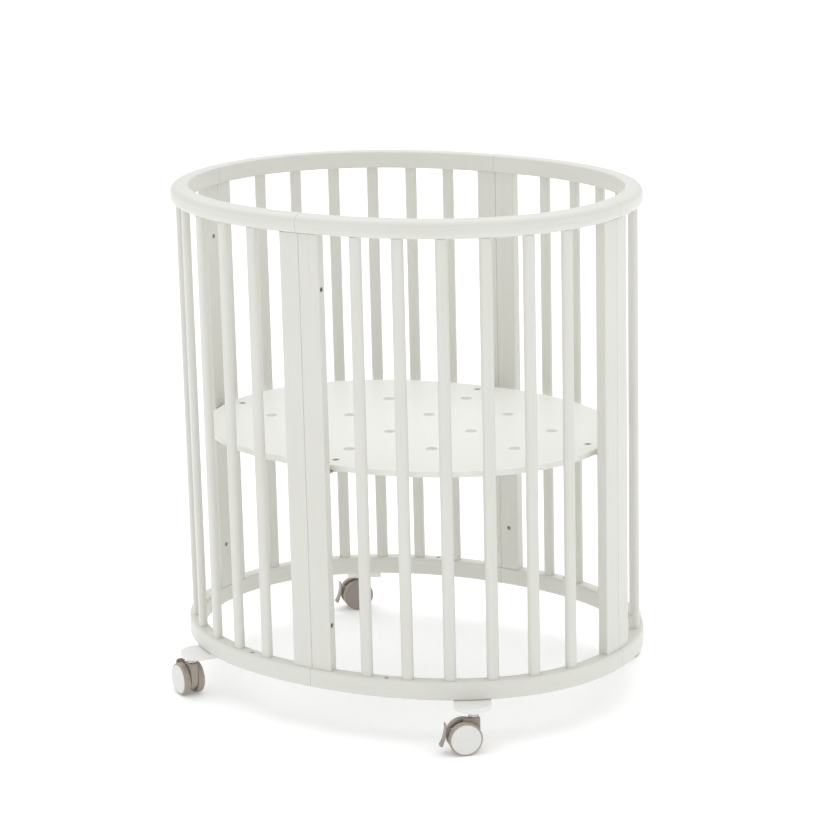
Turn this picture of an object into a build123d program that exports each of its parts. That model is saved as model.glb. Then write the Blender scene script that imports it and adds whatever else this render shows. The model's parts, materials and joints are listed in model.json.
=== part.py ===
from build123d import *
from bisect import bisect
from math import atan2, cos, degrees, hypot, pi, sin
import os

# An oval baby crib: four curved quarter sections bolted together at the ends of the oval's axes,
# with a flat mattress base at half height and four twin-wheel casters. Millimetres, +Z up, X along
# the oval. The origin is on the floor under the centre of the oval.

# --- the ring: the line that all slats stand on, an oval of the form |x/a|^n + |y/b|^n = 1
RING_A = 390.0
RING_B = 309.5
OVAL_POWER = 2.15
OUTLINE_POINTS = 13            # points on a quarter of an outline

# --- heights
TOTAL_HEIGHT = 858.0
TOP_RAIL_HEIGHT = 29.5
BOTTOM_RAIL_HEIGHT = 31.0
RAIL_UNDERSIDE = 77.5
BASE_TOP = 447.5
POST_FOOT = RAIL_UNDERSIDE + BOTTOM_RAIL_HEIGHT
POST_HEAD = TOTAL_HEIGHT - TOP_RAIL_HEIGHT

# --- rails, as distances out from (+) and in from (-) the ring line
TOP_OUT, TOP_IN = 14.5, -16.0
TOP_OUTER_ROUND = 11.0
TOP_INNER_ROUND = 3.0
BOTTOM_OUT, BOTTOM_IN = 13.0, -12.0
BOTTOM_ROUND = 4.0

# --- slats and posts
SLATS_PER_QUARTER = 6
FIRST_SLAT = 98.0              # along the ring, from the joint on the short axis
SLAT_PITCH = 69.0
SLAT_WIDTH = 20.0
SLAT_DEPTH = 13.0
TENON_LENGTH = 12.0
TENON_SHOULDER = 3.0
SOCKET_GAP = 0.15
POST_WIDTH = 36.0
POST_OUT, POST_IN = 7.0, -11.0
POST_ROUND = 1.8

# --- screws at the joints between quarters
BOLT_HEIGHTS = (185.0, 740.0)
BOLT_RADIUS = 2.5
BOLT_HEAD_RADIUS = 4.2
BOLT_HEAD_LENGTH = 5.0
BOLT_RECESS = 2.0              # head sits this far inside the post's side
BOLT_CLEARANCE = 0.1
BOLT_KEY_RADIUS = 2.0
BOLT_KEY_DEPTH = 3.0
HEAD_SEAT = POST_WIDTH - BOLT_RECESS - BOLT_HEAD_LENGTH    # underside of the head, from the joint
HEXAGON = 6
NUT_RADIUS = 4.0
NUT_LENGTH = 13.0

# --- mattress base
BASE_A = 359.5
BASE_B = 283.0
BASE_THICKNESS = 10.0
BASE_EDGE_ROUND = 2.0
VENT_RADIUS = 10.0
VENT_PITCH_X = 120.0
VENT_PITCH_Y = 125.0
BASE_BOLT_REACH = 45.0         # base bolts, in from the posts' inner faces
BASE_BOLT_BEYOND_NUT = 2.0
BASE_BOLT_HEAD_RADIUS = 7.0
BASE_BOLT_HEAD_HEIGHT = 3.0
BASE_BOLT_SINK = 0.1          # heads lie this far below the board's face
BASE_BOLT_RADIUS = 3.0
BASE_BOLT_KEY_RADIUS = 4.0
BASE_BOLT_KEY_DEPTH = 2.5
BASE_NUT_WIDTH = 10.0
BASE_NUT_HEIGHT = 5.0
BRACKET_WIDTH = 24.0
BRACKET_THICKNESS = 3.0
BRACKET_DROP = 42.0
BRACKET_BEYOND_BOLT = 12.0
BRACKET_SCREW_DROPS = (14.0, 32.0)

# --- wood screws, which hold the brackets and the caster tongues
SCREW_RADIUS = 2.0
SCREW_HEAD_RADIUS = 3.8
SCREW_HEAD_HEIGHT = 2.0
SCREW_LENGTH = 13.0
SCREW_KEY_RADIUS = 1.5
SCREW_KEY_DEPTH = 1.0

# --- holes through the bottom rail, between the first two slats of each quarter
RAIL_HOLE_ARC = 132.0
RAIL_HOLE_OUT = 2.0
RAIL_HOLE_RADIUS = 4.0

# --- casters; u runs from the axle away from the swivel stem, w along the axle
CASTER_ARC = 270.5
TONGUE_OUT = 22.0              # centre of the rounded tongue, out from the ring line
TONGUE_RADIUS = 30.0
TONGUE_IN = -9.0
TONGUE_THICKNESS = 8.0
TONGUE_SCREW_SPREAD = 16.0
TONGUE_SCREW_RING = 2.0
STEM_OUT = 35.0                # swivel axis, out from the ring line
STEM_TRAIL = 16.0              # swivel axis to axle
COLLAR_RADIUS = 8.5
COLLAR_LOW = 60.0
STEM_RADIUS = 4.0
STEM_LOW = 40.0
STEM_THREAD = 6.5
WHEEL_RADIUS = 27.5
WHEEL_THICKNESS = 12.0
WHEEL_INNER = 7.0              # inner face of a wheel, from the caster's middle
WHEEL_EDGE_ROUND = 2.5
CAP_RADIUS = 24.7
CAP_DEPTH = 2.0
CAP_PROUD = 0.8
CAP_ROUND = 0.7
AXLE_RADIUS = 3.0
AXLE_HALF_LENGTH = 15.5
RUNNING_GAP = 0.05
HOUSING_WIDTH = 12.0
HOUSING_RADIUS = 22.0
HOUSING_BACK = -26.0
HOUSING_TOP = 59.4
HOUSING_FLANGE = 1.6
PEDAL_WIDTH = 16.0
PEDAL_TONGUE_WIDTH = 5.0
PEDAL_SLOT_WIDTH = 5.8
PEDAL_PIVOT = (13.0, 38.0)
PEDAL_TRUNNION_RADIUS = 1.5
PEDAL_TRUNNION_LENGTH = 10.0
PEDAL_TONGUE_RADIUS = 4.5
PEDAL_TONGUE_END = 31.0        # inside the plate's thickness
PEDAL_BACK = (31.5, 53.0), (32.4, 35.0), (41.0, 15.0)      # bowed plate, outer side downwards
PEDAL_FRONT = (36.5, 13.5), (30.6, 33.0), (29.0, 52.5)     # and its inner side upwards

# each quarter is the first one mirrored in X and/or Y; TRAILS is the direction from stem to axle
QUARTERS = {"front_right": (1, 1), "back_right": (1, -1), "back_left": (-1, -1), "front_left": (-1, 1)}
TRAILS = {"front_right": -137.0, "back_right": -88.0, "back_left": -133.0, "front_left": 151.0}
SIDE_BOLTS = ("front_right", "back_left")      # quarters that hold the bolt heads of the side joints
END_BOLTS = ("back_right", "back_left")        # and of the end joints
END_BRACKETS = ("back_right", "front_left")    # quarters that hold the base at the oval's ends


def oval_point(a, b, t, offset=0.0):
    """A point on an oval at parameter t from its -Y vertex towards +X, moved out along the normal."""
    s, c = max(sin(t), 0.0), max(cos(t), 0.0)
    x, y = a * s ** (2 / OVAL_POWER), -b * c ** (2 / OVAL_POWER)
    gx = s ** (2 - 2 / OVAL_POWER) / a
    gy = -c ** (2 - 2 / OVAL_POWER) / b
    size = hypot(gx, gy)
    return x + offset * gx / size, y + offset * gy / size


def arc_table(steps=4000):
    """Length along the first quarter of the ring at evenly spaced parameters."""
    ts = [pi / 2 * i / steps for i in range(steps + 1)]
    points = [oval_point(RING_A, RING_B, t) for t in ts]
    lengths = [0.0]
    for p, q in zip(points, points[1:]):
        lengths.append(lengths[-1] + hypot(q[0] - p[0], q[1] - p[1]))
    return ts, lengths


TS, LENGTHS = arc_table()
QUARTER_LENGTH = LENGTHS[-1]


def ring_point(arc, offset=0.0):
    """A point on the ring, arc millimetres from the short-axis joint of the first quarter."""
    return oval_point(RING_A, RING_B, TS[min(bisect(LENGTHS, arc), len(TS) - 1)], offset)


def ring_angle(arc):
    """Direction of the outward normal there, in degrees."""
    (x0, y0), (x1, y1) = ring_point(arc), ring_point(arc, 1.0)
    return degrees(atan2(y1 - y0, x1 - x0))


def outline(a, b, offset=0.0):
    """A smooth curve along a quarter of an oval, square to both axes at its ends."""
    count = OUTLINE_POINTS - 1
    points = [oval_point(a, b, pi / 2 * i / count, offset) for i in range(count + 1)]
    points[0] = (0.0, -b - offset)
    points[-1] = (a + offset, 0.0)
    return Spline(*points, tangents=((1, 0), (0, 1)))


def rail(inner, outer, low, height):
    """One quarter of a rail with square edges."""
    inside = outline(RING_A, RING_B, inner)
    outside = outline(RING_A, RING_B, outer)
    ends = [Line(inside @ k, outside @ k) for k in (0, 1)]
    return extrude(Pos(0, 0, low) * make_face([inside, outside] + ends), height)


def long_edges(solid, z, outermost):
    """The curved edge of a rail at height z, on its outer or its inner side."""
    found = solid.edges().filter_by(lambda e: abs(e.center().Z - z) < 0.01 and e.length > RING_B)
    return found.sort_by(Edge.length)[-1 if outermost else 0]


def at_ring(arc, z, shape, offset=0.0):
    """Places a shape on the ring, with its own +X pointing outwards."""
    x, y = ring_point(arc, offset)
    return Pos(x, y, z) * Rot(0, 0, ring_angle(arc)) * shape


def slat_arcs():
    return [FIRST_SLAT + SLAT_PITCH * i for i in range(SLATS_PER_QUARTER)]


def stadium(width, depth, height):
    """A bar with round edges: depth along X, width along Y, standing on Z = 0."""
    return extrude(Rot(0, 0, 90) * SlotOverall(width, depth), height)


def slat(arc):
    bar = at_ring(arc, POST_FOOT, stadium(SLAT_WIDTH, SLAT_DEPTH, POST_HEAD - POST_FOOT))
    width, depth = SLAT_WIDTH - 2 * TENON_SHOULDER, SLAT_DEPTH - 2 * TENON_SHOULDER
    length = POST_HEAD - POST_FOOT + 2 * TENON_LENGTH
    return bar + at_ring(arc, POST_FOOT - TENON_LENGTH, stadium(width, depth, length))


def slat_sockets(z):
    """The sockets for a rail's tenons; z is the rail's face."""
    width = SLAT_WIDTH - 2 * TENON_SHOULDER + 2 * SOCKET_GAP
    depth = SLAT_DEPTH - 2 * TENON_SHOULDER + 2 * SOCKET_GAP
    reach = TENON_LENGTH + 2 * SOCKET_GAP
    return [at_ring(arc, z - reach, stadium(width, depth, 2 * reach)) for arc in slat_arcs()]


def post_outline(end, shrink=0.0):
    """A post's section. The end post stands at the oval's end, the side post at its side."""
    near, far = (QUARTER_LENGTH, QUARTER_LENGTH - POST_WIDTH) if end else (0.0, POST_WIDTH)
    outer, inner = POST_OUT - shrink, POST_IN + shrink
    inset = -shrink if end else shrink
    corners = [(near + inset, outer), (far - inset, outer), (far - inset, inner), (near + inset, inner)]
    points = [ring_point(arc, offset) for arc, offset in corners]
    if shrink == 0:
        points = [seam(p, end) if k in (0, 3) else p for k, p in enumerate(points)]
    return make_face(Polyline(*points, close=True))


def seam(point, end):
    """Moves a point onto the plane where two quarters meet."""
    return (point[0], 0.0) if end else (0.0, point[1])


def post_tenons(end, extra=0.0):
    shape = post_outline(end, TENON_SHOULDER - extra)
    low = POST_FOOT - TENON_LENGTH - 2 * extra
    return extrude(Pos(0, 0, low) * shape, POST_HEAD - POST_FOOT + 2 * TENON_LENGTH + 4 * extra)


def bolt_frame(end):
    """The bolts' axis through a joint: its +Z runs along the ring into the first quarter's post."""
    middle = (POST_OUT + POST_IN) / 2
    if end:
        return Pos(RING_A + middle, 0, 0) * Rot(90, 0, 0)
    return Pos(0, -RING_B - middle, 0) * Rot(0, 90, 0)


def along_joint(end, z, shape):
    return Pos(0, 0, z) * bolt_frame(end) * shape


def cylinder(radius, low, high):
    return Pos(0, 0, low) * Cylinder(radius, high - low, align=(Align.CENTER, Align.CENTER, Align.MIN))


def bolt_bore(end, z):
    shank = cylinder(BOLT_RADIUS + BOLT_CLEARANCE, 0, POST_WIDTH)
    head = cylinder(BOLT_HEAD_RADIUS + BOLT_CLEARANCE, HEAD_SEAT, POST_WIDTH + POST_ROUND)
    return along_joint(end, z, shank + head)


def nut_bore(end, z):
    """Bores in a post on the nut side of a joint, drawn in the first quarter's post."""
    middle = (POST_OUT + POST_IN) / 2
    depth = NUT_LENGTH + (POST_OUT - POST_IN - NUT_LENGTH) / 2
    bolt_end = POST_WIDTH / 2 + NUT_RADIUS + 2 * BOLT_RADIUS
    bore = cylinder(BOLT_RADIUS + BOLT_CLEARANCE, 0, bolt_end)
    face = POST_IN - middle
    pocket = cylinder(NUT_RADIUS + BOLT_CLEARANCE, face - POST_ROUND, face + depth)
    if end:
        cross = Pos(RING_A + middle, -POST_WIDTH / 2, z) * Rot(0, 90, 0) * pocket
    else:
        cross = Pos(POST_WIDTH / 2, -RING_B - middle, z) * Rot(90, 0, 0) * pocket
    return along_joint(end, z, bore) + cross


def post(end, has_heads):
    body = extrude(Pos(0, 0, POST_FOOT) * post_outline(end), POST_HEAD - POST_FOOT)
    body = fillet(body.edges().filter_by(Axis.Z), POST_ROUND)
    body += post_tenons(end)
    for z in BOLT_HEIGHTS:
        body -= bolt_bore(end, z) if has_heads else nut_bore(end, z)
    return body


def key_socket(radius, depth, face):
    """A hexagon socket in a head whose face is at Z = face."""
    return Pos(0, 0, face - depth) * extrude(RegularPolygon(radius, HEXAGON), 2 * depth)


def joint_bolt(end, z):
    shank = cylinder(BOLT_RADIUS, -POST_WIDTH / 2 - NUT_RADIUS - BOLT_RADIUS, HEAD_SEAT)
    head = cylinder(BOLT_HEAD_RADIUS, HEAD_SEAT, HEAD_SEAT + BOLT_HEAD_LENGTH)
    socket = key_socket(BOLT_KEY_RADIUS, BOLT_KEY_DEPTH, HEAD_SEAT + BOLT_HEAD_LENGTH)
    return along_joint(end, z, shank + head - socket)


def barrel_nut(end, z):
    """A cross nut, in the post on the far side of the joint from the bolt's head."""
    hole = Rot(90, 0, 0) * Cylinder(BOLT_RADIUS + BOLT_CLEARANCE, 4 * NUT_RADIUS)
    body = Cylinder(NUT_RADIUS, NUT_LENGTH) - hole
    middle = (POST_OUT + POST_IN) / 2
    if end:
        return Pos(RING_A + middle, POST_WIDTH / 2, z) * Rot(0, 90, 0) * body
    return Pos(-POST_WIDTH / 2, -RING_B - middle, z) * Rot(0, 0, 90) * Rot(0, 90, 0) * body


def post_face(end):
    """The middle of a post's inner face, with +X pointing outwards through the post."""
    near, far = (QUARTER_LENGTH, QUARTER_LENGTH - POST_WIDTH) if end else (0.0, POST_WIDTH)
    (x0, y0), (x1, y1) = seam(ring_point(near, POST_IN), end), ring_point(far, POST_IN)
    turn = 90.0 if end else -90.0
    return Pos((x0 + x1) / 2, (y0 + y1) / 2, 0) * Rot(0, 0, degrees(atan2(y1 - y0, x1 - x0)) + turn)


def base_bracket(end):
    """A steel angle: one leg screwed to a post, the other under the mattress base."""
    top = BASE_TOP - BASE_THICKNESS
    reach = BASE_BOLT_REACH + BRACKET_BEYOND_BOLT
    corner = (Align.MAX, Align.CENTER, Align.MAX)
    leg = Pos(0, 0, top) * Box(reach, BRACKET_WIDTH, BRACKET_THICKNESS, align=corner)
    leg += Pos(0, 0, top) * Box(BRACKET_THICKNESS, BRACKET_WIDTH, BRACKET_DROP, align=corner)
    bolt_hole = Cylinder(BASE_BOLT_RADIUS + BOLT_CLEARANCE, 4 * BRACKET_THICKNESS)
    leg -= Pos(-BASE_BOLT_REACH, 0, top) * bolt_hole
    screw_hole = Rot(0, 90, 0) * Cylinder(SCREW_RADIUS + BOLT_CLEARANCE, 4 * BRACKET_THICKNESS)
    for drop in BRACKET_SCREW_DROPS:
        leg -= Pos(0, 0, top - drop) * screw_hole
    return post_face(end) * leg


def base_bolt():
    low = BASE_TOP - BASE_THICKNESS - BRACKET_THICKNESS - BASE_NUT_HEIGHT - BASE_BOLT_BEYOND_NUT
    high = BASE_TOP - BASE_BOLT_SINK
    seat = high - BASE_BOLT_HEAD_HEIGHT
    body = cylinder(BASE_BOLT_RADIUS, low, seat) + cylinder(BASE_BOLT_HEAD_RADIUS, seat, high)
    return body - key_socket(BASE_BOLT_KEY_RADIUS, BASE_BOLT_KEY_DEPTH, high)


def base_nut():
    top = BASE_TOP - BASE_THICKNESS - BRACKET_THICKNESS
    nut = Box(BASE_NUT_WIDTH, BASE_NUT_WIDTH, BASE_NUT_HEIGHT)
    nut -= Cylinder(BASE_BOLT_RADIUS + BOLT_CLEARANCE, 2 * BASE_NUT_HEIGHT)
    return Pos(0, 0, top - BASE_NUT_HEIGHT / 2) * nut


def at_base_bolt(end, shape):
    return post_face(end) * Pos(-BASE_BOLT_REACH, 0, 0) * shape


def wood_screw(extra=0.0):
    """A round-headed screw whose head sits on Z = 0 and whose shank points up."""
    shank = cylinder(SCREW_RADIUS + extra, 0, SCREW_LENGTH + extra)
    return shank + cylinder(SCREW_HEAD_RADIUS + extra, -SCREW_HEAD_HEIGHT, 0)


def keyed_screw():
    socket = extrude(RegularPolygon(SCREW_KEY_RADIUS, HEXAGON), SCREW_KEY_DEPTH)
    return wood_screw() - Pos(0, 0, -SCREW_HEAD_HEIGHT) * socket


def bracket_screws(end, screw):
    """Puts a screw through each hole of a bracket, its head on the inner side."""
    top = BASE_TOP - BASE_THICKNESS
    places = [Pos(-BRACKET_THICKNESS, 0, top - drop) * Rot(0, 90, 0) for drop in BRACKET_SCREW_DROPS]
    return [post_face(end) * place * screw for place in places]


def vent_places():
    """Vents along the board's long axis: 4 in the middle column, 3 beside it, 2 beyond that."""
    places = []
    for column in range(-2, 3):
        rows = 4 - abs(column)
        for row in range(rows):
            places.append((column * VENT_PITCH_X, (row - (rows - 1) / 2) * VENT_PITCH_Y))
    return places


def mattress_base():
    """A flat oval board with vent holes in staggered rows."""
    corner = outline(BASE_A, BASE_B)
    half = [corner, mirror(corner, about=Plane.XZ)]
    board = extrude(make_face(half + [mirror(edge, about=Plane.YZ) for edge in half]), BASE_THICKNESS)
    rims = board.edges().filter_by(GeomType.LINE, reverse=True)
    board = fillet(rims, BASE_EDGE_ROUND)
    for x, y in vent_places():
        board -= Pos(x, y, 0) * Cylinder(VENT_RADIUS, 4 * BASE_THICKNESS)
    board = Pos(0, 0, BASE_TOP - BASE_THICKNESS) * board
    seat = BASE_TOP - BASE_BOLT_SINK - BASE_BOLT_HEAD_HEIGHT
    hole = cylinder(BASE_BOLT_RADIUS + BOLT_CLEARANCE, 0, seat)
    hole += cylinder(BASE_BOLT_HEAD_RADIUS + BOLT_CLEARANCE, seat, TOTAL_HEIGHT)
    for name in QUARTERS:
        board -= in_quarter(name, at_base_bolt(has_end_bracket(name), hole))
    return board


def has_end_bracket(name):
    """Two quarters hold the mattress base at the oval's ends, the other two at its sides."""
    return name in END_BRACKETS


def takes_bolts(name, end):
    """Whether the heads of a joint's bolts are in this quarter's post, and not the nuts."""
    return name in (END_BOLTS if end else SIDE_BOLTS)


def in_quarter(name, shape):
    """Moves a shape drawn in the first quarter into another one."""
    sx, sy = QUARTERS[name]
    if sx < 0:
        shape = mirror(shape, about=Plane.YZ)
    if sy < 0:
        shape = mirror(shape, about=Plane.XZ)
    return shape


def tongue_screw_places():
    underside = RAIL_UNDERSIDE - TONGUE_THICKNESS + SCREW_HEAD_HEIGHT
    place = at_ring(CASTER_ARC, underside, Pos(TONGUE_SCREW_RING, 0, 0))
    return [place * Pos(0, side * TONGUE_SCREW_SPREAD, 0) for side in (-1, 1)]


def caster_tongue():
    """The rounded plate under the bottom rail that carries a caster outside the ring."""
    width = 2 * TONGUE_RADIUS
    plate = Pos(TONGUE_IN, 0, 0) * Rectangle(TONGUE_OUT - TONGUE_IN, width, align=(Align.MIN, Align.CENTER))
    plate = extrude(plate + Pos(TONGUE_OUT, 0, 0) * Circle(TONGUE_RADIUS), TONGUE_THICKNESS)
    plate -= Pos(STEM_OUT, 0, 0) * Cylinder(STEM_RADIUS + RUNNING_GAP, 2 * STEM_THREAD)
    plate = at_ring(CASTER_ARC, RAIL_UNDERSIDE - TONGUE_THICKNESS, plate)
    for place in tongue_screw_places():
        plate -= place * wood_screw(BOLT_CLEARANCE)
    return plate


def top_rail():
    body = rail(TOP_IN, TOP_OUT, POST_HEAD, TOP_RAIL_HEIGHT)
    for outermost, radius in ((True, TOP_OUTER_ROUND), (False, TOP_INNER_ROUND)):
        body = fillet([long_edges(body, z, outermost) for z in (POST_HEAD, TOTAL_HEIGHT)], radius)
    return body - slat_sockets(POST_HEAD) - [post_tenons(end, SOCKET_GAP) for end in (False, True)]


def bottom_rail():
    body = rail(BOTTOM_IN, BOTTOM_OUT, RAIL_UNDERSIDE, BOTTOM_RAIL_HEIGHT)
    for outermost in (True, False):
        body = fillet([long_edges(body, z, outermost) for z in (RAIL_UNDERSIDE, POST_FOOT)], BOTTOM_ROUND)
    body -= slat_sockets(POST_FOOT) + [post_tenons(end, SOCKET_GAP) for end in (False, True)]
    body -= at_ring(RAIL_HOLE_ARC, 0, cylinder(RAIL_HOLE_RADIUS, 0, TOTAL_HEIGHT / 2), RAIL_HOLE_OUT)
    return body - [place * wood_screw(BOLT_CLEARANCE) for place in tongue_screw_places()]


def stem_place(name):
    """The swivel axis of a quarter's caster, with +X from the stem towards the axle."""
    x, y = ring_point(CASTER_ARC, STEM_OUT)
    sx, sy = QUARTERS[name]
    return Pos(sx * x, sy * y, 0) * Rot(0, 0, TRAILS[name])


def caster_stem():
    underside = RAIL_UNDERSIDE - TONGUE_THICKNESS
    collar = cylinder(COLLAR_RADIUS, COLLAR_LOW, underside)
    return collar + cylinder(STEM_RADIUS, STEM_LOW, underside + STEM_THREAD)


def side_bar(outline_face, width):
    """A bar of a width along the axle, from a shape drawn as (u, z) above the foot of the axle."""
    return Pos(STEM_TRAIL, 0, 0) * extrude(Plane.XZ * outline_face, width / 2, both=True)


def axle_cylinder(radius, low, high, u=0.0, z=WHEEL_RADIUS):
    """A cylinder along the axle's direction, from low to high as seen from the caster's middle."""
    return Pos(STEM_TRAIL + u, 0, z) * Rot(-90, 0, 0) * cylinder(radius, low, high)


def caster_housing():
    """The web between the wheels, with the bore for the stem, the axle hole and the pedal's slot."""
    neck_low = WHEEL_RADIUS - HOUSING_RADIUS / 2
    neck_top = HOUSING_TOP - HOUSING_FLANGE
    neck = Polyline((HOUSING_BACK, neck_top), (HOUSING_BACK, WHEEL_RADIUS), (-HOUSING_RADIUS, neck_low),
                    (0, neck_low), (0, neck_top), close=True)
    web = side_bar(make_face(neck) + Pos(0, WHEEL_RADIUS) * Circle(HOUSING_RADIUS), HOUSING_WIDTH)
    web += cylinder(COLLAR_RADIUS, neck_top, HOUSING_TOP)
    web -= cylinder(STEM_RADIUS + RUNNING_GAP, STEM_LOW - 1, TOTAL_HEIGHT / 2)
    web -= axle_cylinder(AXLE_RADIUS, -HOUSING_WIDTH, HOUSING_WIDTH)
    corner = (Align.MIN, Align.CENTER, Align.MIN)
    slot = Box(2 * HOUSING_RADIUS, PEDAL_SLOT_WIDTH, 2 * HOUSING_RADIUS, align=corner)
    web -= Pos(STEM_TRAIL + 2 * AXLE_RADIUS, 0, WHEEL_RADIUS - 2 * AXLE_RADIUS) * slot
    u, z = PEDAL_PIVOT
    return web - axle_cylinder(PEDAL_TRUNNION_RADIUS + RUNNING_GAP, -HOUSING_WIDTH, HOUSING_WIDTH, u, z)


def brake_pedal():
    """A bowed plate behind the wheels on a tongue with two trunnions."""
    back, front = ThreePointArc(*PEDAL_BACK), ThreePointArc(*PEDAL_FRONT)
    plate = make_face([back, Line(back @ 1, front @ 0), front, Line(front @ 1, back @ 0)])
    u, z = PEDAL_PIVOT
    half = PEDAL_TONGUE_RADIUS
    arm = Pos(u, z) * Rectangle(PEDAL_TONGUE_END - u, 2 * half, align=(Align.MIN, Align.CENTER))
    tongue = side_bar(arm + Pos(u, z) * Circle(half), PEDAL_TONGUE_WIDTH)
    reach = PEDAL_TRUNNION_LENGTH / 2
    trunnions = axle_cylinder(PEDAL_TRUNNION_RADIUS, -reach, reach, u, z)
    return side_bar(plate, PEDAL_WIDTH) + tongue + trunnions


def wheel():
    """The wheel on the left of its caster, seen from the stem towards the axle."""
    outer = WHEEL_INNER + WHEEL_THICKNESS
    body = axle_cylinder(WHEEL_RADIUS, WHEEL_INNER, outer)
    body = fillet(body.edges().filter_by(GeomType.CIRCLE), WHEEL_EDGE_ROUND)
    body -= axle_cylinder(CAP_RADIUS + BOLT_CLEARANCE, outer - CAP_DEPTH, outer + 1)
    return body - axle_cylinder(AXLE_RADIUS + RUNNING_GAP, 0, AXLE_HALF_LENGTH + 1)


def wheel_cap():
    outer = WHEEL_INNER + WHEEL_THICKNESS
    disc = axle_cylinder(CAP_RADIUS, outer - CAP_DEPTH, outer + CAP_PROUD)
    rim = disc.edges().filter_by(GeomType.CIRCLE).sort_by(Axis.Y)[-1]
    return fillet(rim, CAP_ROUND)


def write(name, shapes):
    shapes = shapes if isinstance(shapes, list) else [shapes]
    solids = [solid for shape in shapes for solid in shape.solids()]
    body = solids[0] if len(solids) == 1 else Compound(children=solids)
    export_step(body, f"parts/{name}.step")


def write_frame():
    for name in QUARTERS:
        write(f"top_rail_{name}", in_quarter(name, top_rail()))
        write(f"bottom_rail_{name}", in_quarter(name, bottom_rail()))
        write(f"slats_{name}", [in_quarter(name, slat(arc)) for arc in slat_arcs()])
        write(f"caster_tongue_{name}", in_quarter(name, caster_tongue()))
        for end, place in ((False, "side"), (True, "end")):
            body = post(end, takes_bolts(name, end))
            if end == has_end_bracket(name):
                body -= bracket_screws(end, wood_screw(BOLT_CLEARANCE))
            write(f"post_{name}_{place}", in_quarter(name, body))


def write_hardware():
    bolts, nuts, brackets, base_bolts, base_nuts, screws = [], [], [], [], [], []
    for name in QUARTERS:
        end = has_end_bracket(name)
        for joint in [(side, z) for side in (False, True) for z in BOLT_HEIGHTS]:
            if takes_bolts(name, joint[0]):
                bolts.append(in_quarter(name, joint_bolt(*joint)))
                nuts.append(in_quarter(name, barrel_nut(*joint)))
        brackets.append(in_quarter(name, base_bracket(end)))
        base_bolts.append(in_quarter(name, at_base_bolt(end, base_bolt())))
        base_nuts.append(in_quarter(name, at_base_bolt(end, base_nut())))
        screws += [in_quarter(name, screw) for screw in bracket_screws(end, keyed_screw())]
        screws += [in_quarter(name, place * keyed_screw()) for place in tongue_screw_places()]
    write("joint_bolts", bolts)
    write("barrel_nuts", nuts)
    write("base_brackets", brackets)
    write("base_bolts", base_bolts)
    write("base_nuts", base_nuts)
    write("wood_screws", screws)
    write("caster_stems", [stem_place(name) * caster_stem() for name in QUARTERS])


def write_casters():
    left_wheel, left_cap = wheel(), wheel_cap()
    for name in QUARTERS:
        place = stem_place(name)
        write(f"caster_housing_{name}", place * caster_housing())
        write(f"brake_pedal_{name}", place * brake_pedal())
        write(f"axle_{name}", place * axle_cylinder(AXLE_RADIUS, -AXLE_HALF_LENGTH, AXLE_HALF_LENGTH))
        write(f"wheel_{name}_left", place * left_wheel)
        write(f"wheel_{name}_right", place * mirror(left_wheel, about=Plane.XZ))
        write(f"wheel_cap_{name}_left", place * left_cap)
        write(f"wheel_cap_{name}_right", place * mirror(left_cap, about=Plane.XZ))


os.makedirs("parts", exist_ok=True)
write_frame()
write("mattress_base", mattress_base())
write_hardware()
write_casters()
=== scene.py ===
import json
from math import cos, pi, radians, sin

import bmesh
import bpy
from mathutils import Matrix, Vector


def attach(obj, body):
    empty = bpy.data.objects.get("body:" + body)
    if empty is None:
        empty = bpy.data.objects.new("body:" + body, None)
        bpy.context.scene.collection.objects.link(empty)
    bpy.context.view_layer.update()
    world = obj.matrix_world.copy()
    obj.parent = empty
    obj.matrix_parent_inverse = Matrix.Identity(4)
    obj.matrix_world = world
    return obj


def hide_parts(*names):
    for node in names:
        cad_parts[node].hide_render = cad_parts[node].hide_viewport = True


# An oval baby crib in white paint on four twin-wheel casters. The CAD frame carries the wood, the
# board and the screws; wheels, caps, pedals and swivel stems are modelled here in more detail.

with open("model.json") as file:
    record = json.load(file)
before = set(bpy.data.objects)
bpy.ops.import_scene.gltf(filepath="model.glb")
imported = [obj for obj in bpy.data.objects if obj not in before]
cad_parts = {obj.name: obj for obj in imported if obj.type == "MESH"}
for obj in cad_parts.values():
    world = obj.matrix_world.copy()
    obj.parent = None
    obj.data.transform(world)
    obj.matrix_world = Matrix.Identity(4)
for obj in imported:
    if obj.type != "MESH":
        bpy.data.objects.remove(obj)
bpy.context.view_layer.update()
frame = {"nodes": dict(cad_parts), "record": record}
JOINTS = {joint["name"]: joint for joint in frame["record"]["behaviour"]["joints"]}
QUARTERS = ("front_right", "back_right", "back_left", "front_left")
MM = 0.001

# ---------------------------------------------------------------- materials


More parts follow.
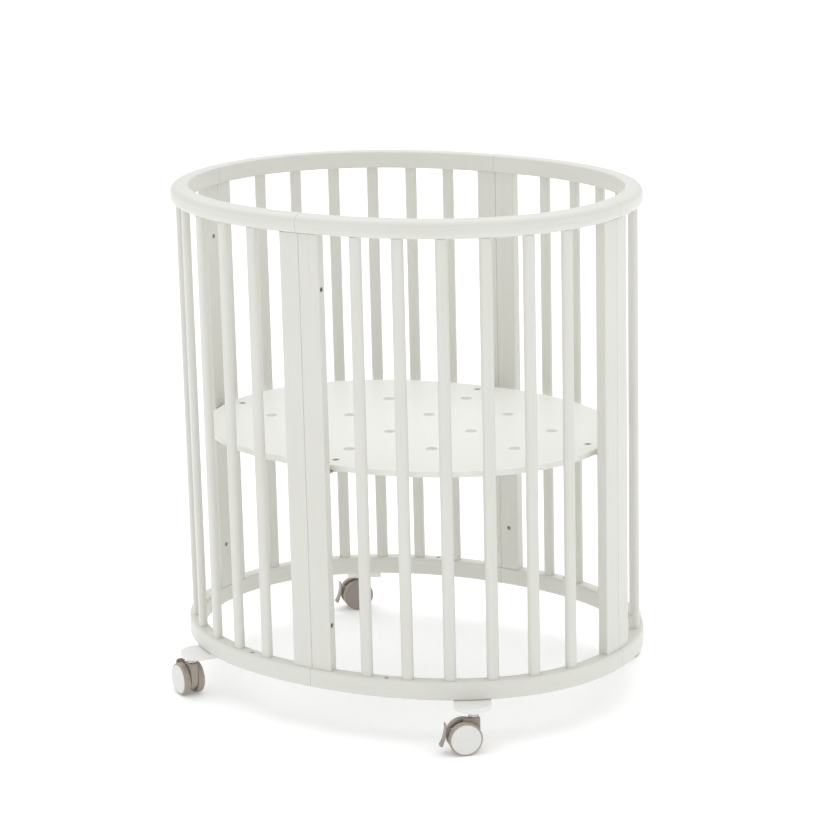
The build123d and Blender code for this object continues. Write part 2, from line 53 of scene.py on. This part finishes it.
class Nodes:
    """A material's node tree, with short calls to add and link nodes."""

    def __init__(self, name):
        self.material = bpy.data.materials.new(name)
        self.material.use_nodes = True
        self.tree = self.material.node_tree
        self.tree.nodes.clear()
        self.out = self.tree.nodes.new("ShaderNodeOutputMaterial")
        self.shader = self.tree.nodes.new("ShaderNodeBsdfPrincipled")
        self.tree.links.new(self.shader.outputs[0], self.out.inputs[0])

    def add(self, kind, inputs=None, **settings):
        node = self.tree.nodes.new("ShaderNode" + kind)
        for key, value in settings.items():
            setattr(node, key, value)
        for key, value in (inputs or {}).items():
            self.put(node.inputs[key], value)
        return node

    def put(self, socket, value):
        if isinstance(value, bpy.types.NodeSocket):
            self.tree.links.new(value, socket)
        else:
            socket.default_value = value

    def math(self, operation, a, b=0.0):
        return self.add("Math", {0: a, 1: b}, operation=operation).outputs[0]

    def place(self):
        return self.add("TexCoord").outputs["Object"]

    def stretched(self, scale):
        """The object's own coordinates, scaled per axis, so that noise draws out into grain."""
        return self.add("Mapping", {"Vector": self.place(), "Scale": scale}).outputs[0]

    def around_oval(self, along, across, upright):
        """Coordinates that run round the crib, so that grain follows the bent rails."""
        x, y, z = self.add("SeparateXYZ", {0: self.place()}).outputs
        x, y = self.math("DIVIDE", x, RING_A), self.math("DIVIDE", y, RING_B)
        turn = self.math("MULTIPLY", self.math("ARCTAN2", y, x), along * RING_A)
        reach = self.math("SQRT", self.math("ADD", self.math("POWER", x, 2), self.math("POWER", y, 2)))
        reach = self.math("MULTIPLY", reach, across * RING_A)
        return self.add("CombineXYZ", {0: turn, 1: reach, 2: self.math("MULTIPLY", z, upright)}).outputs[0]

    def noise(self, where, scale, detail=4.0, rough=0.55):
        inputs = {"Vector": where, "Scale": scale, "Detail": detail, "Roughness": rough}
        return self.add("TexNoise", inputs).outputs[0]

    def spread(self, value, low, high, start=0.3, end=0.7):
        """Maps a value that runs from start to end, as noise mostly does, on to low to high."""
        inputs = {0: value, 1: start, 2: end, 3: low, 4: high}
        return self.add("MapRange", inputs).outputs[0]

    def mix(self, factor, a, b):
        node = self.add("Mix", data_type="RGBA")
        self.put(node.inputs[0], factor)
        self.put(node.inputs[6], (*a, 1.0) if isinstance(a, tuple) else a)
        self.put(node.inputs[7], (*b, 1.0) if isinstance(b, tuple) else b)
        return node.outputs[2]

    def bump(self, height, strength, distance, normal=None):
        inputs = {"Height": height, "Strength": strength, "Distance": distance}
        if normal:
            inputs["Normal"] = normal
        return self.add("Bump", inputs).outputs[0]

    def finish(self, colour, roughness, normal, **constants):
        """Fills the shader; a constant is named after its socket, with _ for each space."""
        self.put(self.shader.inputs["Base Color"], colour)
        self.put(self.shader.inputs["Roughness"], roughness)
        self.put(self.shader.inputs["Normal"], normal)
        for name, value in constants.items():
            self.shader.inputs[name.replace("_", " ")].default_value = value
        return self.material


# the oval that the rails' grain follows, by its half-axes, and the hairline between quarters, in metres
RING_A = 0.39
RING_B = 0.3095
SEAM_WIDTH = 0.0011
SEAM_TONE = (0.40, 0.40, 0.355)


def joint_line(n, colour):
    """Darkens the hairline where two quarters of a rail meet, at the ends of the oval's axes."""
    x, y, _ = n.add("SeparateXYZ", {0: n.place()}).outputs
    near = n.math("MINIMUM", n.math("ABSOLUTE", x), n.math("ABSOLUTE", y))
    return n.mix(n.spread(near, 0.75, 0.0, SEAM_WIDTH / 4, SEAM_WIDTH / 2), colour, SEAM_TONE)


def paint(name, light, shade, grain_at, coat, jointed=False):
    """Sprayed satin paint over close-grained wood; grain_at(nodes) gives the grain's coordinates.

    Noise is given as scale, detail and roughness; bump as strength and height in metres."""
    n = Nodes(name)
    grain = n.noise(grain_at(n), 190.0, 6.0, 0.62)
    pores = n.noise(grain_at(n), 720.0, 3.0, 0.5)
    cloud = n.noise(n.place(), 4.5, 3.0)
    peel = n.noise(n.place(), 620.0, 2.0, 0.4)
    tone = n.math("ADD", n.spread(grain, 0.0, 0.55), n.spread(cloud, 0.0, 0.45))
    colour = n.mix(tone, light, shade)
    if jointed:
        colour = joint_line(n, colour)
    rough = n.math("ADD", n.spread(cloud, 0.33, 0.41), n.spread(peel, -0.03, 0.03))
    normal = n.bump(grain, 0.10, 0.0004)
    normal = n.bump(pores, 0.05, 0.0002, normal)
    normal = n.bump(peel, 0.05, 0.00015, normal)
    return n.finish(colour, rough, normal, Coat_Weight=coat, Coat_Roughness=0.25)


def plastic(name, light, shade, roughness, grain=900.0):
    """Moulded plastic with a fine spark-eroded grain and slight unevenness of colour."""
    n = Nodes(name)
    speck = n.noise(n.place(), grain, 2.0, 0.6)
    cloud = n.noise(n.place(), 38.0, 4.0)
    colour = n.mix(n.math("ADD", n.spread(cloud, 0.0, 0.7), n.spread(speck, 0.0, 0.3)), light, shade)
    rough = n.math("ADD", n.spread(cloud, roughness - 0.05, roughness + 0.06), n.spread(speck, -0.04, 0.04))
    return n.finish(colour, rough, n.bump(speck, 0.14, 0.00012))


def metal(name, light, shade, roughness, brushed):
    """Turned or brushed metal with fine lines and a few duller patches."""
    n = Nodes(name)
    lines = n.noise(n.stretched(brushed), 900.0, 3.0, 0.7)
    patch = n.noise(n.place(), 120.0, 4.0)
    colour = n.mix(n.math("ADD", n.spread(lines, 0.0, 0.5), n.spread(patch, 0.0, 0.5)), light, shade)
    rough = n.math("ADD", n.spread(patch, roughness - 0.06, roughness + 0.1), n.spread(lines, -0.05, 0.05))
    return n.finish(colour, rough, n.bump(lines, 0.12, 0.00008), Metallic=1.0)


FLOOR_GLOW = 0.15


def floor_finish():
    """Pale paper; a faint glow keeps the object's shadow light."""
    n = Nodes("studio_floor")
    cloud = n.noise(n.place(), 1.2, 2.0)
    colour = n.mix(n.spread(cloud, 0.0, 1.0), (0.945, 0.945, 0.95), (0.955, 0.955, 0.96))
    return n.finish(colour, 0.9, n.bump(cloud, 0.02, 0.001), Specular_IOR_Level=0.0,
                    Emission_Color=(1.0, 1.0, 1.0, 1.0), Emission_Strength=FLOOR_GLOW)


def upright_grain(n):
    return n.stretched((1, 1, 0.05))


def rail_grain(n):
    return n.around_oval(0.05, 1.0, 1.0)


def board_grain(n):
    return n.stretched((0.05, 1, 1))


WHITE, WHITE_SHADE = (0.722, 0.72, 0.67), (0.677, 0.675, 0.62)
BOARD, BOARD_SHADE = (0.86, 0.86, 0.82), (0.82, 0.82, 0.78)
MATERIALS = {
    "upright_paint": paint("upright_paint", WHITE, WHITE_SHADE, upright_grain, 0.06),
    "rail_paint": paint("rail_paint", WHITE, WHITE_SHADE, rail_grain, 0.06, jointed=True),
    "base_paint": paint("base_paint", BOARD, BOARD_SHADE, board_grain, 0.15),
    "tongue_plastic": plastic("tongue_plastic", (0.84, 0.84, 0.82), (0.79, 0.79, 0.765), 0.42),
    "white_cap": plastic("white_cap", (0.78, 0.78, 0.75), (0.735, 0.735, 0.70), 0.38, 700.0),
    "greige_cap": plastic("greige_cap", (0.34, 0.30, 0.27), (0.30, 0.262, 0.232), 0.42, 700.0),
    "greige_plastic": plastic("greige_plastic", (0.40, 0.345, 0.295), (0.345, 0.295, 0.25), 0.46),
    "bright_steel": metal("bright_steel", (0.74, 0.74, 0.73), (0.60, 0.60, 0.60), 0.26, (1, 1, 0.06)),
    "dark_steel": metal("dark_steel", (0.20, 0.20, 0.20), (0.12, 0.12, 0.12), 0.40, (1, 1, 1)),
    "bracket_steel": metal("bracket_steel", (0.50, 0.47, 0.36), (0.40, 0.375, 0.28), 0.40, (1, 1, 0.08)),
    "brass": metal("brass", (0.58, 0.47, 0.27), (0.46, 0.36, 0.20), 0.34, (1, 1, 0.1)),
}

# ---------------------------------------------------------------- carried-over CAD nodes


def finish_name(node, slot):
    """The look of one node; the base's bolts are bright, though their slot calls them dark."""
    if node == "base_bolts":
        return "bright_steel"
    if slot != "frame_paint":
        return slot
    return "rail_paint" if "rail" in node else "upright_paint"


# widths of the softened edges, in metres; the wood and the board are rounded in the CAD already
EDGE = {"tongue_plastic": 0.0013, "greige_plastic": 0.0008, "bright_steel": 0.0004, "dark_steel": 0.0005,
        "bracket_steel": 0.0004, "brass": 0.0003}


def soften(obj, width):
    """Joins the CAD faces, rounds their sharp edges and evens out the shading."""
    weld = obj.modifiers.new("join", "WELD")
    weld.merge_threshold = 0.00001
    bevel = obj.modifiers.new("soft_edges", "BEVEL")
    bevel.width = width
    bevel.segments = 3
    bevel.limit_method = "ANGLE"
    bevel.angle_limit = radians(40)
    bevel.use_clamp_overlap = True
    bevel.harden_normals = False
    even = obj.modifiers.new("even_shading", "WEIGHTED_NORMAL")
    even.keep_sharp = False
    even.weight = 80


def finish_cad_nodes():
    for part in frame["record"]["subparts"]:
        obj = frame["nodes"][part["node"]]
        slot = part["material_slot"]
        obj.data.materials.clear()
        obj.data.materials.append(MATERIALS[finish_name(part["node"], slot)])
        if slot in EDGE:
            soften(obj, EDGE[slot])


finish_cad_nodes()

# ---------------------------------------------------------------- caster pieces
# Each piece is drawn for one caster: u runs from the swivel stem to the axle, w along the axle, z up.


def caster_matrix(quarter):
    """Takes a caster's own (u, w, z) to the shared frame; the origin is on the floor under its stem."""
    stem = Vector(JOINTS["swivel_" + quarter]["pos_m"])
    roll = JOINTS[f"roll_{quarter}_left"]
    w = Vector(roll["axis"]).normalized()
    u = w.cross(Vector((0, 0, 1)))
    matrix = Matrix((u, w, Vector((0, 0, 1)))).transposed().to_4x4()
    matrix.translation = stem
    return matrix


def axle_place(quarter):
    """(distance from stem to axle, height of the axle)."""
    stem = Vector(JOINTS["swivel_" + quarter]["pos_m"])
    axle = Vector(JOINTS[f"roll_{quarter}_left"]["pos_m"])
    return (axle.xy - stem.xy).length, axle.z


def add_object(name, bm, matrix, material):
    """Makes a smooth-shaded object out of bm, moved by matrix, and links it."""
    mesh = bpy.data.meshes.new(name)
    bmesh.ops.transform(bm, matrix=matrix, verts=bm.verts)
    bmesh.ops.recalc_face_normals(bm, faces=bm.faces)
    bm.to_mesh(mesh)
    bm.free()
    mesh.shade_smooth()
    mesh.materials.append(MATERIALS[material])
    obj = bpy.data.objects.new(name, mesh)
    bpy.context.scene.collection.objects.link(obj)
    return obj


def lathe(bm, profile, around, segments=96):
    """A closed profile of (along, radius) turned about an axis; around(along, radius, turn) is a point."""
    rings = []
    for i in range(segments):
        turn = 2 * pi * i / segments
        rings.append([bm.verts.new(around(a, r, turn)) for a, r in profile])
    for i in range(segments):
        here, there = rings[i], rings[(i + 1) % segments]
        for k in range(len(profile)):
            m = (k + 1) % len(profile)
            bm.faces.new((here[k], here[m], there[m], there[k]))


def about_axle(u, z):
    """Turns a profile about the axle; along is w."""
    return lambda along, radius, turn: Vector((u + radius * cos(turn), along, z + radius * sin(turn)))


def about_stem(along, radius, turn):
    return Vector((radius * cos(turn), radius * sin(turn), along))


def arc(centre, radius, start, end, count=6):
    """Points on an arc in (along, radius) space; angles in degrees."""
    steps = [radians(start + (end - start) * i / count) for i in range(count + 1)]
    return [(centre[0] + radius * cos(t), centre[1] + radius * sin(t)) for t in steps]


def scaled(points):
    return [(a * MM, b * MM) for a, b in points]


# wheel and cap, in millimetres: distances from the caster's middle along the axle, and radii
WHEEL_INNER, WHEEL_OUTER, WHEEL_R = 7.0, 19.0, 27.5
TREAD_EDGE = 2.4
TREAD_CROWN = 0.03
HUB_R, DISH_R, RIM_R = 6.0, 8.0, 21.0
DISH_DEPTH = 1.4
MOULD_LINE_DEPTH = 0.12
CAP_R, CAP_SEAT, CAP_FACE = 24.7, 17.0, 19.8
CAP_RIM, CAP_ROLL, CAP_DOME = 1.1, 0.75, 0.42
BORE_R = 3.05
AXIS_R = 0.02


def wheel_profile():
    """A wheel with a recessed inner side, two edges of the tread and a seat for its cap."""
    inner, outer, dish = WHEEL_INNER, WHEEL_OUTER, WHEEL_INNER + DISH_DEPTH
    middle = (inner + outer) / 2
    points = [(inner + 0.2, BORE_R), (inner, BORE_R + 0.2), (inner, HUB_R), (inner + 0.3, HUB_R + 0.4)]
    points += [(dish - 0.2, DISH_R - 0.8), (dish, DISH_R), (dish, RIM_R), (dish - 0.2, RIM_R + 0.8)]
    points += [(inner + 0.2, RIM_R + 1.8), (inner, RIM_R + 2.2)]
    points += arc((inner + TREAD_EDGE, WHEEL_R - TREAD_EDGE), TREAD_EDGE, 180, 100)
    points += [(inner + 4.0, WHEEL_R - TREAD_CROWN), (middle - 0.25, WHEEL_R)]
    points += [(middle - 0.1, WHEEL_R - MOULD_LINE_DEPTH), (middle + 0.1, WHEEL_R - MOULD_LINE_DEPTH)]
    points += [(middle + 0.25, WHEEL_R), (outer - 4.0, WHEEL_R - TREAD_CROWN)]
    points += arc((outer - TREAD_EDGE, WHEEL_R - TREAD_EDGE), TREAD_EDGE, 80, 0)
    points += [(outer, CAP_R + 0.25), (outer - 0.2, CAP_R + 0.1), (CAP_SEAT + 0.2, CAP_R + 0.1)]
    points += [(CAP_SEAT, CAP_R - 0.1), (CAP_SEAT, BORE_R + 0.2), (CAP_SEAT - 0.2, BORE_R)]
    return scaled(points)


def cap_profile():
    """A shallow dome with a rolled rim; its middle lies on the CAD cap's face."""
    points = [(CAP_SEAT, AXIS_R), (CAP_SEAT, CAP_R - 0.2), (CAP_SEAT + 0.15, CAP_R)]
    points.append((CAP_FACE - CAP_RIM, CAP_R))
    points += arc((CAP_FACE - CAP_RIM, CAP_R - CAP_ROLL), CAP_ROLL, 90, 0)[1:]
    rows = 10
    reach = CAP_R - CAP_RIM
    for i in range(rows + 1):
        r = reach * (1 - i / rows)
        points.append((CAP_FACE - CAP_DOME * (r / reach) ** 2, max(r, AXIS_R)))
    return scaled(points)


def mirrored(points):
    return [(-a, b) for a, b in points]


def make_wheels(quarter, matrix, u, z):
    for side, shape in (("left", list), ("right", mirrored)):
        for part, profile, node in (("wheel", wheel_profile(), "wheel"), ("cap", cap_profile(), "wheel_cap")):
            name = f"{node}_{quarter}_{side}"
            slot = next(p["material_slot"] for p in frame["record"]["subparts"] if p["node"] == name)
            bm = bmesh.new()
            lathe(bm, shape(profile), about_axle(u, z))
            obj = add_object(f"{part}_{quarter}_{side}_detail", bm, matrix, slot)
            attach(obj, f"roller_{quarter}_{side}")
            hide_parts(name)


# height above the floor and radius, in millimetres, from the stem's foot to its top
STEM_PROFILE = [
    # foot
    (40.0, AXIS_R), (40.0, 3.4), (40.6, 4.0), (59.9, 4.0),
    # lower flange of the collar
    (60.0, 7.2), (60.4, 8.1), (61.2, 8.5), (62.4, 8.5), (62.8, 8.1), (63.0, 7.3), (63.4, 7.0),
    # upper flange
    (67.0, 7.0), (67.4, 7.3), (67.6, 8.1), (68.0, 8.5), (69.2, 8.5), (69.5, 8.3),
    # top
    (69.5, 4.0), (75.4, 4.0), (76.0, 3.4), (76.0, AXIS_R),
]


def make_stems():
    """All four swivel stems in one piece: a pin with a two-flanged collar."""
    bm = bmesh.new()
    for quarter in QUARTERS:
        stem = Vector(JOINTS["swivel_" + quarter]["pos_m"])
        lathe(bm, scaled(STEM_PROFILE), lambda a, r, t: about_stem(a, r, t) + stem, 64)
    obj = add_object("caster_stems_detail", bm, Matrix.Identity(4), "bright_steel")
    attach(obj, "frame")
    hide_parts("caster_stems")


def circle_through(p, q, r):
    """(centre, radius) of the circle through three points (u, z)."""
    (ax, ay), (bx, by), (cx, cy) = p, q, r
    d = 2 * (ax * (by - cy) + bx * (cy - ay) + cx * (ay - by))
    a, b, c = ax * ax + ay * ay, bx * bx + by * by, cx * cx + cy * cy
    x = (a * (by - cy) + b * (cy - ay) + c * (ay - by)) / d
    y = (a * (cx - bx) + b * (ax - cx) + c * (bx - ax)) / d
    return (x, y), ((ax - x) ** 2 + (ay - y) ** 2) ** 0.5


def bowed(points, t):
    """The point at t, 0 at the top and 1 at the bottom, on an arc bowed towards the axle."""
    (x, y), radius = circle_through(*points)
    z = points[0][1] + t * (points[2][1] - points[0][1])
    return x - (radius ** 2 - (z - y) ** 2) ** 0.5, z


# pedal, in millimetres: points (u, height) that its bowed faces pass through, then its other sizes
PEDAL_OUTER = ((31.5, 53.0), (32.4, 35.0), (41.0, 15.0))
PEDAL_INNER = ((29.0, 52.5), (30.6, 33.0), (36.5, 13.5))
PEDAL_HALF_WIDTH = 8.0
PEDAL_LENGTH = 39.0
PEDAL_TOP_CORNER, PEDAL_LIP_CORNER, PEDAL_EDGE = 4.5, 2.8, 0.9
EDGE_THINNING = 0.55
GROOVES, GROOVE_DEPTH = 3, 0.22
GROOVE_START, GROOVE_END = 0.74, 0.95
PEDAL_PIVOT = (13.0, 38.0)
ARM_END = 30.6
ARM_HALF_WIDTH = 2.5
ARM_RADIUS = 4.5
TRUNNION_R = 1.5
TRUNNION_HALF = 5.0


def corner_cut(distance, radius):
    """How far a rounded corner pulls in a side, at a distance from the end."""
    gone = max(radius - distance, 0.0)
    return radius - (radius ** 2 - gone ** 2) ** 0.5


def rounded(value, power):
    """A sine or cosine pushed towards 1 or -1, which turns a circle into a rounded box."""
    return (1 if value >= 0 else -1) * abs(value) ** power


def pedal_plate(bm, u, stations=72, sides=28):
    """The bowed plate, with rounded corners and three grip grooves across its lower lip."""
    rings = []
    for i in range(stations + 1):
        t = i / stations
        outer, inner = Vector(bowed(PEDAL_OUTER, t)), Vector(bowed(PEDAL_INNER, t))
        top, bottom = t * PEDAL_LENGTH, (1 - t) * PEDAL_LENGTH
        half = PEDAL_HALF_WIDTH - corner_cut(top, PEDAL_TOP_CORNER) - corner_cut(bottom, PEDAL_LIP_CORNER)
        edge = (corner_cut(top, PEDAL_EDGE) + corner_cut(bottom, PEDAL_EDGE)) / PEDAL_EDGE
        slim = 1 - EDGE_THINNING * edge
        groove = 0.0
        if GROOVE_START < t < GROOVE_END:
            wave = (t - GROOVE_START) / (GROOVE_END - GROOVE_START) * GROOVES
            groove = GROOVE_DEPTH * max(0.0, sin(wave * 2 * pi))
        ring = []
        for k in range(sides):
            turn = 2 * pi * (k + 0.5) / sides
            across = half * rounded(cos(turn), 0.35)
            deep = 0.5 + 0.5 * slim * rounded(sin(turn), 0.4)
            if sin(turn) > 0:
                deep -= groove * slim
            point = inner.lerp(outer, deep)
            ring.append(bm.verts.new(((u + point.x) * MM, across * MM, point.y * MM)))
        rings.append(ring)
    for here, there in zip(rings, rings[1:]):
        for k in range(sides):
            m = (k + 1) % sides
            bm.faces.new((here[k], here[m], there[m], there[k]))
    bm.faces.new(rings[0])
    bm.faces.new(reversed(rings[-1]))


def pedal_arm(bm, u):
    """The arm that carries the plate, round at its pivot, with softened edges."""
    pu, pz = PEDAL_PIVOT
    turns = [radians(a) for a in range(90, 271, 12)]
    outline = [(pu + ARM_RADIUS * cos(t), pz + ARM_RADIUS * sin(t)) for t in turns]
    outline += [(ARM_END, pz - ARM_RADIUS), (ARM_END, pz + ARM_RADIUS)]
    verts = [bm.verts.new(((u + x) * MM, -ARM_HALF_WIDTH * MM, z * MM)) for x, z in outline]
    face = bm.faces.new(verts)
    grown = bmesh.ops.extrude_face_region(bm, geom=[face])["geom"]
    moved = [g for g in grown if isinstance(g, bmesh.types.BMVert)]
    bmesh.ops.translate(bm, verts=moved, vec=(0, 2 * ARM_HALF_WIDTH * MM, 0))
    corners = set(verts) | set(moved)
    rims = [e for e in bm.edges
            if set(e.verts) <= corners and abs(e.verts[0].co.y - e.verts[1].co.y) < 1e-6]
    bmesh.ops.bevel(bm, geom=rims, offset=0.0005, segments=2, affect="EDGES", profile=0.5)


def make_pedal(quarter, matrix, u):
    bm = bmesh.new()
    pedal_arm(bm, u / MM)
    pedal_plate(bm, u / MM)
    pu, pz = PEDAL_PIVOT
    half, tip = TRUNNION_HALF, 0.4
    pin = [(-half, AXIS_R), (-half, TRUNNION_R - tip), (tip - half, TRUNNION_R),
           (half - tip, TRUNNION_R), (half, TRUNNION_R - tip), (half, AXIS_R)]
    lathe(bm, scaled(pin), about_axle(u + pu * MM, pz * MM), 32)
    obj = add_object(f"pedal_{quarter}_detail", bm, matrix, "greige_plastic")
    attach(obj, "pedal_" + quarter)
    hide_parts("brake_pedal_" + quarter)


make_stems()
for q in QUARTERS:
    axle_u, axle_z = axle_place(q)
    make_wheels(q, caster_matrix(q), axle_u, axle_z)
    make_pedal(q, caster_matrix(q), axle_u)

# ---------------------------------------------------------------- studio

# places in metres, the lens in millimetres, the sun's turns in degrees
CAMERA_AT = Vector((2.516, -4.002, 1.684))
CAMERA_LOOK = Vector((-0.5120, 0.8213, -0.2519))
CAMERA_ROLL = radians(-1.336)
CAMERA_LENS = 124.46
CAMERA_SHIFT = (-0.00196, 0.00065)
FLOOR_HALF = 60.0
ROOM_LIGHT = 0.80
SUN_STRENGTH = 1.25
SUN_SOFTNESS, SUN_TILT, SUN_AZIMUTH = 90.0, 14.0, 120.0
SUN_COLOUR = (1.0, 0.998, 0.99)


def make_camera():
    data = bpy.data.cameras.new("camera")
    data.lens = CAMERA_LENS
    data.sensor_width = 36.0
    data.shift_x, data.shift_y = CAMERA_SHIFT
    data.clip_end = 200.0
    camera = bpy.data.objects.new("camera", data)
    bpy.context.scene.collection.objects.link(camera)
    look = CAMERA_LOOK.to_track_quat("-Z", "Y").to_matrix().to_4x4()
    camera.matrix_world = Matrix.Translation(CAMERA_AT) @ look @ Matrix.Rotation(CAMERA_ROLL, 4, "Z")
    bpy.context.scene.camera = camera


def make_floor():
    bm = bmesh.new()
    bmesh.ops.create_grid(bm, x_segments=40, y_segments=40, size=FLOOR_HALF)
    mesh = bpy.data.meshes.new("floor")
    bm.to_mesh(mesh)
    bm.free()
    mesh.materials.append(floor_finish())
    floor = bpy.data.objects.new("floor", mesh)
    bpy.context.scene.collection.objects.link(floor)


def make_sun():
    """A wide, soft sun, a little off the vertical."""
    data = bpy.data.lights.new("overhead", "SUN")
    data.energy = SUN_STRENGTH
    data.angle = radians(SUN_SOFTNESS)
    data.color = SUN_COLOUR
    light = bpy.data.objects.new("overhead", data)
    light.rotation_euler = (0, radians(SUN_TILT), radians(SUN_AZIMUTH))
    bpy.context.scene.collection.objects.link(light)


def make_room():
    """Even light from all round, and a white backdrop that only the camera sees."""
    world = bpy.data.worlds.new("studio")
    world.use_nodes = True
    tree = world.node_tree
    light = tree.nodes["Background"]
    light.inputs["Color"].default_value = (0.985, 0.99, 1.0, 1.0)
    light.inputs["Strength"].default_value = ROOM_LIGHT
    backdrop = tree.nodes.new("ShaderNodeBackground")
    backdrop.inputs["Color"].default_value = (1.0, 1.0, 1.0, 1.0)
    choose = tree.nodes.new("ShaderNodeMixShader")
    tree.links.new(tree.nodes.new("ShaderNodeLightPath").outputs["Is Camera Ray"], choose.inputs[0])
    tree.links.new(light.outputs[0], choose.inputs[1])
    tree.links.new(backdrop.outputs[0], choose.inputs[2])
    tree.links.new(choose.outputs[0], tree.nodes["World Output"].inputs["Surface"])
    bpy.context.scene.world = world


make_camera()
make_floor()
make_room()
make_sun()
bpy.context.scene.view_settings.view_transform = "Standard"
